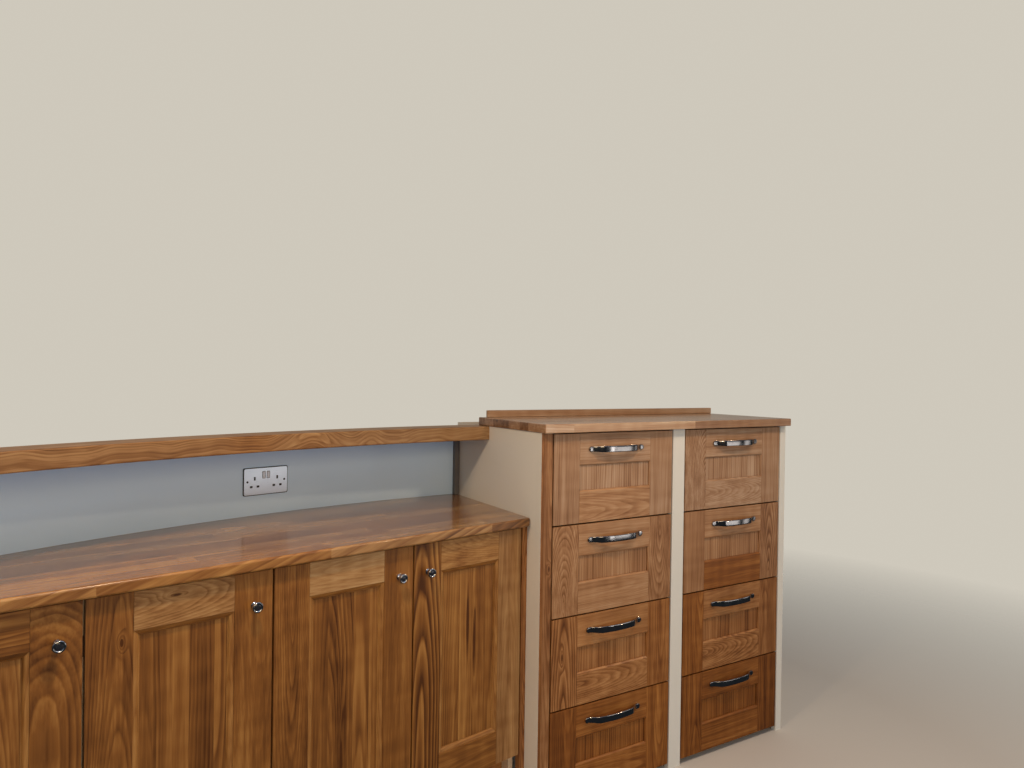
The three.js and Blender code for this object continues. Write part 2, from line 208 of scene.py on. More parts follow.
def paint(name, colour, bare=None):
    """Rolled eggshell paint. bare gives the share of bare plywood at x and y, where there is any."""
    made, shader, place = new_material(name)
    cloud, roller = place.noise(3, 3, 3, 2), place.noise(520, 520, 520, 2)
    coat = (cloud * 1.4 - 0.2).within().blend([part * 0.93 for part in colour], colour)
    if bare:
        coat = bare(*place.axes()[:2]).blend(coat, birch_colour(place))
    plug(shader, Base_Color=coat, Roughness=cloud * 0.12 + 0.36, Normal=bump(roller, 0.00006, 0.5))
    return made


def dress(node, material):
    """A CAD node keeps its mesh and gets a better material."""
    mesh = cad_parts[node].data
    mesh.materials.clear()
    mesh.materials.append(material)


side_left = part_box("chest_side_left")
side_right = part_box("chest_side_right")


def bare_left(x, y):
    return x.maths("GREATER_THAN", side_left[0].x + PAINT_DEEP)


def bare_right(x, y):
    return x.maths("LESS_THAN", side_right[1].x - PAINT_DEEP) * y.maths("GREATER_THAN", side_right[0].y + STRIP_DEEP)


cream_paint = paint("cream_paint", CREAM)
dress("chest_side_left", paint("cream_paint_left", CREAM, bare_left))
dress("chest_side_right", paint("cream_paint_right", CREAM, bare_right))
dress("chest_strip_middle", cream_paint)

# Plywood of both carcasses
# Bare birch plywood under clear lacquer: the chest's divider, back and rear top panel, the cupboards' floor and
# curved back. It is screwed together, and the curved back follows the hull.

birch_ply, shader, place = new_material("birch_ply")
plug(shader, Base_Color=birch_colour(place), Roughness=place.noise(9, 9, 9, 2) * 0.16 + 0.38)
for node in ("chest_divider", "chest_back", "chest_top", "cupboard_bottom", "cupboard_back"):
    dress(node, birch_ply)

# Oak boards of the chest's front and foot
# Solid oak under satin lacquer: the stile at the chest's left, glued to the side panel's edge, and the base
# boards set back under the drawers, painted near-black for the shade under them.

MM = 0.001
RING = 0.0052
# columns: place along the ramp, red, green, blue
OAK = (
    (0.00, 0.085, 0.026, 0.007), (0.30, 0.235, 0.088, 0.026), (0.55, 0.400, 0.182, 0.068),
    (0.78, 0.540, 0.290, 0.130), (1.00, 0.700, 0.450, 0.240))
HONEY_OAK = [(at, red * 0.96, green * 1.06, blue) for at, red, green, blue in OAK]
SMOKED_OAK = ((0.00, 0.020, 0.017, 0.015), (0.50, 0.085, 0.074, 0.068), (1.00, 0.200, 0.175, 0.160))
EARLY_WOOD = [
    (at, pale, pale, pale)
    for at, pale in ((0.00, 0.25), (0.14, 1.00), (0.46, 0.52), (0.76, 0.12), (0.90, 0.00), (1.00, 0.20))]
WARM = (1.06, 0.88, 0.40)
COOL = (0.93, 1.12, 1.55)


def timber(shader, grain, tone, figure, warmth, knot, gloss, stops=OAK, sway=1.0, coarse=1.0):
    """Oak from its place in the tree. grain is across, through and along a board from the pith. knot is across and
    along from a knot or a dark heart, and its radius. sway is how far the rings wander, coarse how wide they lie."""
    across, through, along = grain.axes()
    wander, ripple = grain.noise(8, 8, 1.6), grain.noise(60, 60, 9)
    rings = (across.hypot(through) / coarse + (wander * 0.034 + ripple * 0.0035) * sway) / RING
    aside, onward, core_size = knot.axes()
    reach = (aside * aside + onward * onward * 0.14).maths("SQRT") / core_size
    near = (1 - reach * 0.16).within()
    core = (1.5 - reach).within()
    rings = rings + near * near * 4
    rings = rings + grain.node("ShaderNodeTexNoise", {"noise_dimensions": "1D"}, {"W": rings, "Scale": 0.3}) * 1.6
    count = rings.maths("FLOOR")
    early = (rings - count).ramp(EARLY_WOOD)
    streak, line = grain.noise(62, 62, 1.7, 2), grain.noise(230, 230, 4)
    fibre, curl = grain.noise(640, 640, 15, 2), grain.noise(9, 9, 34, 0)
    dark = (early - 0.2) * (count.chance() * 0.7 + 0.3) * figure
    value = tone + (streak - 0.5) * 0.58 + (line - 0.5) * 0.22 + (fibre - 0.5) * 0.22 + (curl - 0.5) * 0.14
    value = value - dark * 0.44 - core * 0.5
    tint = (warmth * 0.5 + 0.5).within().blend(COOL, WARM)
    plug(
        shader, Base_Color=value.within().ramp(stops).times(tint),
        Roughness=gloss + (fibre - 0.5) * 0.12 + dark * 0.05, Normal=bump(fibre * 0.4 - dark * 0.6, 0.00012))


def board_material(name, gloss, coat, coat_rough, shine, stops=OAK):
    """Oak for pieces cut from boards, which carry their grain on their corners."""
    made, shader, place = new_material(name)
    grain, stock, knot = (
        place.node("ShaderNodeAttribute", {"attribute_name": layer}, {}, "Vector") for layer in Joinery.LAYERS)
    timber(shader, grain, *stock.axes(), knot, gloss, stops)
    plug(shader, Coat_Weight=coat, Coat_Roughness=coat_rough, Specular_IOR_Level=shine)
    return made


def skin(work, rings):
    """Faces over both ends of a run of closed rings of corners, and between them."""
    work.faces.new(rings[0])
    work.faces.new(rings[-1])
    for a, b in zip(rings, rings[1:]):
        for i in range(len(a)):
            j = (i + 1) % len(a)
            work.faces.new((a[i], a[j], b[j], b[i]))


class Joinery:
    """A wooden piece of boards, cut in millimetres in the piece's own frame, each with its own grain."""

    AXES = {"x": Vector((1, 0, 0)), "y": Vector((0, 1, 0)), "z": Vector((0, 0, 1))}
    LAYERS = ("grain", "stock", "knot")
    SOUND = (900, 900, 1, 1)

    def __init__(self, place, seed):
        self.place = place
        self.draw = random.Random(seed)
        self.mesh = bmesh.new()
        self.layers = [self.mesh.verts.layers.float_vector.new(layer) for layer in self.LAYERS]

    def corner(self, point, *values):
        made = self.mesh.verts.new(self.place @ point)
        for layer, value in zip(self.layers, values):
            made[layer] = Vector(value)
        return made

    def solid(
        self, lower, upper, along, across, tone=0.55, warmth=0.3, figure=0.5, depth=None, centre=None, lean=None,
        growth=1, swell=0, belly=0, knot=SOUND,
    ):
        """A closed solid between two like outlines. The pith lies depth behind its middle and centre to one side,
        leans away from the face along the board, and swells away from it on both sides of belly. A knot is across
        and along from the middle, with its radius and how much its length shrinks to make it round."""
        draw = self.draw
        depth = draw.uniform(22, 60) if depth is None else depth
        centre = draw.uniform(-25, 25) if centre is None else centre
        lean = draw.choice((-1, 1)) * draw.uniform(15, 60) if lean is None else lean
        tone += draw.uniform(-0.04, 0.04)
        start = draw.uniform(1, 40)
        run, side = self.AXES[along], self.AXES[across]
        through = run.cross(side)
        middle = sum(lower + upper, Vector()) / (2 * len(lower))
        steps = 14 if swell else 1
        rings = []
        for i in range(steps + 1):
            ring = []
            for low, high in zip(lower, upper):
                point = low.lerp(high, i / steps)
                away = point - middle
                aside, inward, length = away.dot(side), away.dot(through), away.dot(run)
                pith = depth + lean * length * MM + swell * ((length - belly) / 100) ** 2
                grain = Vector((aside - centre, inward + pith, length)) * (MM / growth)
                grain.z += start
                from_knot = Vector((aside - knot[0], (length - knot[1]) * knot[3], knot[2])) * MM
                ring.append(self.corner(point, grain, (tone, figure, warmth), from_knot))
            rings.append(ring)
        skin(self.mesh, rings)

    def upright(self, plan, z0, z1, along, across, *cut, **stock):
        """A solid that stands on a plan."""
        self.solid(*([Vector((x, y, z)) for x, y in plan] for z in (z0, z1)), along, across, *cut, **stock)

    def board(self, lo, hi, along, **stock):
        """A square-cut board between two corners. Its width is its longer side across the grain."""
        i, j = (axis for axis in range(3) if "xyz"[axis] != along)
        ends = [], []
        for a, b in ((lo[i], lo[j]), (hi[i], lo[j]), (hi[i], hi[j]), (lo[i], hi[j])):
            for end, point in zip(ends, (Vector(lo), Vector(hi))):
                point[i], point[j] = a, b
                end.append(point)
        across = "xyz"[i if hi[i] - lo[i] > hi[j] - lo[j] else j]
        self.solid(*ends, along, across, **stock)

    def finish(self, node, material, ease=0.6, body="carcass", slot="oak", name=None):
        finish_piece(name or f"{node}_oak", self.mesh, material, node, body, ease)


def to_mesh(name, work):
    """A bmesh becomes a mesh with its faces pointing outwards."""
    bmesh.ops.recalc_face_normals(work, faces=work.faces)
    mesh = bpy.data.meshes.new(name)
    work.to_mesh(mesh)
    work.free()
    return mesh


def finish_piece(
    name, made, material, node=None, body="carcass", ease=0.0, segments=2, smooth=False,
):
    """A mesh or a bmesh becomes a piece, its edges eased, riding on a body in a CAD node's place if it has one."""
    mesh = made if isinstance(made, bpy.types.Mesh) else to_mesh(name, made)
    if not mesh.materials:
        mesh.materials.append(material)
    piece = placed(name, mesh)
    if ease or smooth:
        mesh.shade_smooth()
    if ease:
        edges = piece.modifiers.new("eased edges", "BEVEL")
        edges.width = ease * MM
        edges.segments = segments
        edges.limit_method = "ANGLE"
        edges.angle_limit = math.radians(35)
        edges.harden_normals = True
    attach(piece, body)
    if node:
        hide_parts(node)


def extent(node, place):
    """A CAD node's lowest and highest corners in a piece's own frame, in millimetres."""
    back = place.inverted()
    points = [back @ v.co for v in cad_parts[node].data.vertices]
    return [Vector([pick(p[i] for p in points) for i in range(3)]) for pick in (min, max)]


def one_board(node, place, seed, along, slot, material, ease=0.6, **stock):
    """A single board in a CAD node's place."""
    work = Joinery(place, seed)
    work.board(*extent(node, place), along, **stock)
    work.finish(node, material, ease, slot=slot)


chest_place = Matrix.Translation((side_left[0].x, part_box("chest_stile_left")[0].y, 0)) @ Matrix.Scale(MM, 4)
satin_oak = board_material("satin_oak", 0.40, 0.08, 0.25, 0.28)
smoked_oak = board_material("smoked_oak", 0.42, 0.10, 0.30, 0.4, SMOKED_OAK)

# The stile is an edge strip and a board, and the side panel's paint goes on over its left face.
STILE_EDGE = 11
PAINT_COAT = 0.6
lo, hi = extent("chest_stile_left", chest_place)
stile = Joinery(chest_place, 3)
stile.board(
    (lo.x + PAINT_COAT, lo.y, lo.z), (lo.x + STILE_EDGE, hi.y, hi.z), "z", tone=0.34, figure=0.4, warmth=0.2,
    depth=50, centre=20, lean=20)
stile.board(
    (lo.x + STILE_EDGE, lo.y, lo.z), hi, "z", tone=0.42, figure=0.7, warmth=-0.15, depth=34, centre=9, lean=-42,
    knot=(7, 170, 2.5, 1))
stile.finish("chest_stile_left", satin_oak)
coat = Joinery(chest_place, 4)
coat.board(lo, (lo.x + PAINT_COAT, hi.y, hi.z), "z")
coat.finish(None, cream_paint, 0.2, slot="cream_paint", name="chest_stile_left_paint")

# the base boards' low tone paints the shade in the recess under the drawers
for side in ("left", "right"):
    one_board(f"chest_base_{side}", chest_place, 5, "x", "dark_oak", smoked_oak, 1.0, tone=0.15, figure=0.4)

# Worktops
# Oak staves, finger jointed end to end and glued edge to edge, rounded along their edges under several coats of
# gloss lacquer. The low one is scribed to the hull at its back and fixed from below.

TURN = math.radians(9.4)
RUN_FRONT = 54.4
STAVE = {"width": 0.058, "length": 0.52, "uneven": 0.007, "finger": 0.006, "pitch": 0.0045, "slope": 0.15}
EDGE = {"deep": 0.005, "slope": -0.42, "coarse": 4.0}
SAWN_END = 0.0022
END_KNOT = {"back": 0.272, "height": 1.2068, "radius": 0.0035}

run_place = chest_place @ Matrix.Translation((0, RUN_FRONT, 0)) @ Matrix.Rotation(TURN, 4, "Z")


def stave_material(name, turn, seed, tone, warmth, gloss, coat, left_end, front, stops=OAK):
    """Staves laid along a worktop, which is turned by turn from the row frame. Its end grain is at left_end. In
    front of front the rings run out aslant in broad streaks."""
    made, shader, place = new_material(name)
    along, across, height = place.from_frame(turn).axes()
    lane = (across + (across * 31 + seed).maths("SINE") * STAVE["uneven"]) / STAVE["width"]
    lane_number = lane.maths("FLOOR")
    zigzag = across.maths("PINGPONG", STAVE["pitch"]) / STAVE["pitch"]
    row = (along + zigzag * STAVE["finger"]) / STAVE["length"] + (lane_number + seed).chance() * 7.3
    row_number = row.maths("FLOOR")
    first, second, third = lane.node(
        "ShaderNodeTexWhiteNoise", {}, {"Vector": lane.vector(lane_number, row_number, seed)}, "Color").axes()
    local = (lane - lane_number - 0.5) * STAVE["width"]
    edge = across.maths("LESS_THAN", front + EDGE["deep"])
    reach = (row - row_number - 0.5) * STAVE["length"]
    grain = lane.vector(
        local + (second - 0.5) * 0.09,
        height + third * 0.06 + 0.02 + reach * ((first - 0.5) * STAVE["slope"] + edge * EDGE["slope"]),
        along + first * 40,
    )
    end = along.maths("LESS_THAN", left_end + SAWN_END)
    spot_back = across - (chest_place.translation.y + END_KNOT["back"])
    spot_up = height - END_KNOT["height"]
    knot = lane.vector(spot_back.hypot(spot_up), along - left_end, END_KNOT["radius"])
    timber(
        shader, grain, (third - 0.5) * 0.34 + tone - end * 0.22, first * 0.35 + 0.05 + edge * 0.7,
        (second - 0.5) * 0.6 + warmth - end * 0.7, knot, edge * 0.12 + gloss, stops, 0.7, edge * EDGE["coarse"] + 1.3)
    plug(shader, Coat_Weight=coat - edge * coat * 0.7, Coat_Roughness=0.14)
    return made


def slab(node, outline, z0, z1, material, rounding):
    """A board cut to an outline in the row frame, between two heights, its edges rounded."""
    work = bmesh.new()
    skin(work, [[work.verts.new((x, y, z)) for x, y in outline] for z in (z0, z1)])
    finish_piece(f"{node}_oak", work, material, node, ease=rounding, segments=4)


lo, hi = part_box("chest_worktop")
slab(
    "chest_worktop", [(lo.x, lo.y), (hi.x, lo.y), (hi.x, hi.y), (lo.x, hi.y)], lo.z, hi.z,
    stave_material("worktop_oak_chest", 0, 3.7, 0.61, -0.7, 0.24, 0.35, lo.x, lo.y - 1), 2.8)

# The run's worktop takes its outline from the hull's arc, in millimetres in the chest's frame.
HULL = Vector((60, -2572))
HULL_FACE = 3150
HULL_BACK = 3162
SEAT = 0.3
ARC_STEPS = 56
CORNER = 12
CORNER_STEPS = 6

run_lo = extent("cupboard_worktop", run_place)[0]


def to_chest(u, v):
    """A point of the run's frame in the chest's, both in millimetres."""
    return Matrix.Rotation(TURN, 2) @ Vector((u, v)) + Vector((0, RUN_FRONT))


def depth_at(u, radius):
    """How far back an arc of the hull lies from the run's front line at u."""
    centre = Matrix.Rotation(-TURN, 2) @ (HULL - Vector((0, RUN_FRONT)))
    return centre.y + math.sqrt(radius ** 2 - (u - centre.x) ** 2)


def arc_ends(radius):
    """The angles at which an arc of the hull meets the chest and the run's left end."""
    end = to_chest(run_lo.x, depth_at(run_lo.x, radius)) - HULL
    return math.acos((-SEAT - HULL.x) / radius), math.atan2(end.y, end.x)


def on_arc(radius, share):
    """A point of an arc, at a share of the way from the chest to the run's left end."""
    first, last = arc_ends(radius)
    angle = first + (last - first) * share
    return HULL + Vector((math.cos(angle), math.sin(angle))) * radius


corner_u = -SEAT / math.cos(TURN)
corner = to_chest(corner_u, 0)
corner_start = to_chest(corner_u - CORNER, 0)
corner_end = corner + Vector((0, CORNER))
outline = [to_chest(run_lo.x, 0)]
for i in range(CORNER_STEPS + 1):
    t = i / CORNER_STEPS
    outline.append(corner_start * (1 - t) ** 2 + corner * 2 * t * (1 - t) + corner_end * t ** 2)
outline += [on_arc(HULL_BACK, i / ARC_STEPS) for i in range(ARC_STEPS + 1)]
run_front = (Matrix.Rotation(-TURN, 4, "Z") @ run_place.translation).y
lo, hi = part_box("cupboard_worktop")
slab(
    "cupboard_worktop", [(chest_place @ point.to_3d()).xy for point in outline], lo.z, hi.z,
    stave_material("worktop_oak_run", TURN, 8.2, 0.43, 0.30, 0.20, 0.46, -9.0, run_front, HONEY_OAK), 6.0)

# Upstand
# A square oak strip pinned along the back of the chest's worktop, with its left end rounded.

END_STEPS = 8

lo, hi = extent("chest_upstand", chest_place)
end_radius = (hi.y - lo.y) / 2
plan = [(hi.x, lo.y), (hi.x, hi.y)]
for i in range(END_STEPS + 1):
    angle = math.pi / 2 + math.pi * i / END_STEPS
    plan.append((lo.x + end_radius * (1 + math.cos(angle)), lo.y + end_radius * (1 + math.sin(angle))))
upstand = Joinery(chest_place, 12)
upstand.upright(plan, lo.z, hi.z, "x", "y", tone=0.66, figure=0.4, warmth=-1.0, depth=40, centre=8, lean=15)
upstand.finish("chest_upstand", satin_oak, 1.5)

# Drawer fronts and boxes
# Each front is a frame of oak stiles and rails, glued with dowels round a panel of narrow quarter-sawn staves. It is
# screwed from inside to a birch box with its bottom in a groove. The box runs on wooden runners.

FRAME = 99
CHAMFER = 4
SUNK = 7
JOINT = 0.35
DRAWER_STAVES = (0.26, 0.22, 0.28, 0.24)
BOX_WALL = 12
BOX_BOTTOM = {"up": 6, "thick": 6}
# from the top row down: tone and warmth of its oak, painted darker and warmer lower down for the shade
ROW_SHADED_TONE = (0.61, 0.55, 0.46, 0.34)
ROW_SHADED_WARMTH = (-0.90, -0.40, 0.20, 0.75)
# how much more painted shade the right column takes with each row
SHADED = {"left": 0.0, "right": -0.03}
# columns: a board of a frame, how much lighter it is, its figure
DRAWER_FRAME = (
    ("left stile", -0.03, 0.5), ("right stile", -0.03, 0.5), ("top rail", 0.02, 0.25), ("bottom rail", 0.02, 0.35))
# boards with a figure of their own: tone, warmth and the further values that Joinery.solid takes, in its order
# their tones and warmths also hold the painted shade of their row
DRAWER_BOARDS = {
    ("left", 1, "left stile"): (0.52, -0.90, 0.45, 44, -14, 22),
    ("left", 1, "right stile"): (0.53, -0.90, 0.3, 70, 60, 10),
    ("left", 1, "bottom rail"): (0.57, -0.35, 0.5, 40, -16, 60),
    ("left", 2, "left stile"): (0.52, -0.40, 0.8, 30, -18, 190),
    ("left", 2, "right stile"): (0.52, -0.40, 0.7, 26, 10, -150, 1.4),
    ("left", 3, "left stile"): (0.43, 0.20, 1.1, 30, -12, 90, 1.5, 0, 0, (-20, 20, 2.4, 0.6)),
    ("left", 3, "right stile"): (0.38, 0.50, 0.5, 34, 20, -40),
    ("left", 3, "bottom rail"): (0.48, 0.20, 0.7, 26, 16, 210, 1.3),
    ("left", 4, "right stile"): (0.35, 0.80, 0.6, 50, 20, -30),
    ("right", 1, "left stile"): (0.58, -0.90, 1.0, 26, 44, 260),
    ("right", 1, "bottom rail"): (0.63, -0.90, 0.5, 30, 6, 150),
    ("right", 2, "left stile"): (0.49, -0.40, 0.2, 60, 40, 10),
    ("right", 2, "right stile"): (0.49, -0.40, 1.1, 26, 8, 110, 1.3),
    ("right", 2, "bottom rail"): (0.34, 0.80, 0.2, 60, 12, 20),
    ("right", 3, "left stile"): (0.34, 0.80, 0.6, 40, 26, -40),
    ("right", 3, "bottom rail"): (0.42, 0.20, 0.8, 26, 12, 190),
    ("right", 4, "left stile"): (0.29, 0.80, 0.6, 50, 14, 30),
}

birch_boards, shader, place = new_material("birch_boards")
grain = place.node("ShaderNodeAttribute", {"attribute_name": "grain"}, {}, "Vector")
plug(shader, Base_Color=birch_colour(grain), Roughness=grain.noise(9, 9, 9, 2) * 0.16 + 0.34)


def framed(work, lo, hi, sides, bottom, top, back, boards, chamfer=0):
    """Two stiles with two rails between them, and the lines that bound them. The inner edges are chamfered, and the
    rails' ends scribed to them."""
    face, inner = lo.y, lo.y + chamfer
    x = (lo.x, lo.x + sides, hi.x - sides, hi.x)
    z = (lo.z, lo.z + bottom, hi.z - top, hi.z)
    for name, outer, edge, side in (("left stile", x[0], x[1], -1), ("right stile", x[3], x[2], 1)):
        plan = [(outer, face), (edge + side * chamfer, face), (edge, inner), (edge, back), (outer, back)]
        work.upright(dict.fromkeys(plan), z[0], z[3], "z", "x", *boards[name])
    for name, outer, edge, side in (("bottom rail", z[0], z[1], -1), ("top rail", z[3], z[2], 1)):
        section = dict.fromkeys([
            (face, outer), (face, edge + side * chamfer), (inner, edge), (back, edge), (back, outer), (inner, outer)])
        ends = [
            [Vector((start + way * (JOINT - chamfer * (y == face)), y, height)) for y, height in section]
            for start, way in ((x[1], 1), (x[2], -1))]
        work.solid(*ends, "x", "z", *boards[name])
    return x, z


def drawer_front(column, row):
    lo, hi = extent(f"drawer_{column}_{row}_front", chest_place)
    work = Joinery(chest_place, f"{column} {row}")
    # the row's tone and warmth hold its painted shade
    tone, warmth = ROW_SHADED_TONE[row - 1] + SHADED[column] * (row - 1), ROW_SHADED_WARMTH[row - 1]
    inset = FRAME + CHAMFER
    boards = {
        name: DRAWER_BOARDS.get((column, row, name), (tone + lighter, warmth, figure))
        for name, lighter, figure in DRAWER_FRAME}
    x, z = framed(work, lo, hi, inset, inset, inset, hi.y, boards, CHAMFER)
    edge = x[1]
    for share in DRAWER_STAVES:
        end = edge + (x[2] - x[1]) * share
        work.board(
            (edge, lo.y + SUNK, z[1]), (end, hi.y, z[2]), "z", tone=tone + work.draw.uniform(-0.05, 0.05), figure=0.7,
            warmth=warmth, depth=work.draw.uniform(18, 34), centre=work.draw.choice((-1, 1)) * 130, lean=4,
            growth=1.8)
        edge = end
    return work


def drawer_box(column, row):
    """Sides and ends of birch, and a thin bottom let into them."""
    lo, hi = extent(f"drawer_{column}_{row}_box", chest_place)
    work = Joinery(chest_place, f"box {column} {row}")
    inner_lo, inner_hi = lo + Vector((BOX_WALL, BOX_WALL, 0)), hi - Vector((BOX_WALL, BOX_WALL, 0))
    under = lo.z + BOX_BOTTOM["up"]
    work.board(lo, (inner_lo.x, hi.y, hi.z), "y")
    work.board((inner_hi.x, lo.y, lo.z), hi, "y")
    work.board((inner_lo.x, lo.y, lo.z), (inner_hi.x, inner_lo.y, hi.z), "x")
    work.board((inner_lo.x, inner_hi.y, lo.z), (inner_hi.x, hi.y, hi.z), "x")
    work.board((inner_lo.x, inner_lo.y, under), (inner_hi.x, inner_hi.y, under + BOX_BOTTOM["thick"]), "x")
    return work


drawers = [(f"drawer_{column}_{row}", column, row) for column in ("left", "right") for row in range(1, 5)]
for name, column, row in drawers:
    drawer_front(column, row).finish(f"{name}_front", satin_oak, 0.8, name)
    drawer_box(column, row).finish(f"{name}_box", birch_boards, 0.8, name, "birch_ply", f"{name}_box_birch")

# Drawer handles
# Bow handles of cast pewter, polished: flat pads at both ends, sloping legs and a long bowed grip that is a little
# wider than the pads. Each is held by two screws from behind the front.

HANDLE = {
    "half": 114, "pad": 15, "slope": 36, "thick": 5.4, "rise": 14.4, "bow": 12.2, "pad width": 17, "grip width": 20.6,
    "up": 2.9, "square": 0.36, "thinner": 0.35, "tip": 0.8}
HANDLE_STEPS = 72
HANDLE_CROWD = 0.55
HANDLE_ROUND = 32


def speckled(name, scale, detail, low, high, metallic, rough, span):
    """A finish with a faint mottle: its colour lies between two, and its roughness from rough on by span."""
    made, shader, place = new_material(name)
    mottle = place.noise(scale, scale, scale, detail)
    plug(shader, Base_Color=mottle.blend(low, high), Metallic=metallic, Roughness=mottle * span + rough)
    return made


pewter = speckled("pewter", 45, 3, (0.32, 0.30, 0.295), (0.48, 0.455, 0.445), 1.0, 0.08, 0.12)


def handle_rise(x):
    """From 0 at the pads to 1 over the grip."""
    t = min(max((HANDLE["half"] - HANDLE["pad"] - abs(x)) / HANDLE["slope"], 0), 1)
    return 3 * t * t - 2 * t ** 3


def handle_line(x):
    """How far the grip's middle stands off the front at x."""
    bow = HANDLE["bow"] * max(0, 1 - (x / (HANDLE["half"] - HANDLE["pad"])) ** 2)
    return HANDLE["thick"] / 2 + (HANDLE["rise"] - HANDLE["thick"] / 2) * handle_rise(x) + bow


def handle(lo, hi):
    """A strap swept along its line, with rounded pads and a softly crowned face."""
    middle = (lo + hi) / 2
    work = bmesh.new()
    rings = []
    for i in range(HANDLE_STEPS + 1):
        crowded, even = -math.cos(math.pi * i / HANDLE_STEPS), 2 * i / HANDLE_STEPS - 1
        x = HANDLE["half"] * (crowded * HANDLE_CROWD + even * (1 - HANDLE_CROWD))
        half_width = (HANDLE["pad width"] + (HANDLE["grip width"] - HANDLE["pad width"]) * handle_rise(x)) / 2
        slope = (handle_line(x + 0.1) - handle_line(x - 0.1)) / 0.2
        out = Vector((slope, 1)).normalized()
        round_off = max(0, 1 - (HANDLE["half"] - abs(x)) / half_width)
        tall = max(HANDLE["tip"], half_width * math.sqrt(max(0, 1 - round_off ** 2)))
        thick = HANDLE["thick"] / 2 * (1 - HANDLE["thinner"] * round_off ** 2)
        ring = []
        for k in range(HANDLE_ROUND):
            angle = 2 * math.pi * k / HANDLE_ROUND
            z, t = (
                size * math.copysign(abs(turn) ** HANDLE["square"], turn)
                for size, turn in ((tall, math.cos(angle)), (thick, math.sin(angle))))
            off = handle_line(x) + t * out.y
            point = Vector((middle.x + x - t * out.x, hi.y - off, middle.z + HANDLE["up"] + z))
            ring.append(work.verts.new(chest_place @ point))
        rings.append(ring)
    skin(work, rings)
    return work


for name, column, row in drawers:
    finish_piece(
        f"{name}_handle_pewter", handle(*extent(f"{name}_handle", chest_place)), pewter, f"{name}_handle", name,
        smooth=True)

# Oak round the cupboards
# The end panel of glued boards, its back scribed to the hull, the plinth and the filler strip between the last door
# and the chest. They are screwed to the carcass from inside.

END_BOARDS = 4
END_THICK = 18
RUN_FACE = 45
FILLER_SCRIBE = 3.4

end_lo, end_hi = extent("cupboard_end_left", run_place)
end = Joinery(run_place, 50)
width = (end_hi.y - RUN_FACE) / END_BOARDS
for i in range(END_BOARDS):
    front, back = RUN_FACE + width * i, RUN_FACE + width * (i + 1)
    sides = end_lo.x, end_lo.x + END_THICK
    backs = [depth_at(u, HULL_FACE - SEAT) for u in sides] if i == END_BOARDS - 1 else (back, back)
    end.upright(
        ((sides[0], front), (sides[1], front), (sides[1], backs[1]), (sides[0], backs[0])), end_lo.z, end_hi.z,
        "z", "y", tone=0.5, warmth=0.5, figure=0.6, lean=end.draw.uniform(20, 60))
end.finish("cupboard_end_left", satin_oak, 0.5)

one_board("cupboard_plinth", run_place, 52, "x", "oak", satin_oak, tone=0.42, warmth=0.5)

lo, hi = extent("cupboard_filler", run_place)
filler = Joinery(run_place, 90)
filler.upright(
    ((lo.x, lo.y), (hi.x - FILLER_SCRIBE, lo.y), (hi.x, hi.y), (lo.x, hi.y)), lo.z, hi.z, "z", "x", tone=0.40,
    figure=0.8, warmth=0.3, depth=20, centre=6)
filler.finish("cupboard_filler", satin_oak)

# Hinges
# Concealed hinges of nickelled steel: a plate on the front edge of each upright and a round cup let into the back
# of each door, two to a door, every one held by a pair of slotted screws.

HINGE = {"width": 16, "height": 44, "front": 40.3, "in": 5}
HINGE_FEET = (248, 758)
# how far along the run the plates' screws stand on the three inner uprights
PLATE_MIDDLES = (-1206, -808, -33)
DOOR_BACK = 40
SCREW = {"apart": 24, "head": 3.1, "stands": 0.14, "sides": 20, "slot long": 1.7, "slot wide": 0.24, "turn": 1.2}

nickel = speckled("nickel", 60, 2, (0.50, 0.49, 0.47), (0.66, 0.65, 0.63), 1.0, 0.20, 0.14)

# Birch plywood, and nickel where the hinge plates stand in front of the upright's edge
plated_birch, shader, place = new_material("birch_with_plates")
u, v, z = place.from_frame(TURN, run_place.translation).axes()
steel = v.maths("LESS_THAN", (RUN_FACE - 0.1) * MM)
plug(
    shader, Base_Color=steel.blend(birch_colour(place), (0.58, 0.57, 0.55)), Metallic=steel,
    Roughness=0.45 - steel * 0.2)
for node in ("cupboard_partition_left", "cupboard_partition_right", "cupboard_end_right"):
    dress(node, plated_birch)

plates = bmesh.new()
u = end_lo.x + HINGE["in"]
for foot in HINGE_FEET:
    plan = ((u, HINGE["front"]), (u + HINGE["width"], HINGE["front"]), (u + HINGE["width"], RUN_FACE), (u, RUN_FACE))
    skin(plates, [
        [plates.verts.new(run_place @ Vector((a, b, z))) for a, b in plan] for z in (foot, foot + HINGE["height"])])
finish_piece("cupboard_end_left_plates", plates, nickel, ease=0.8)


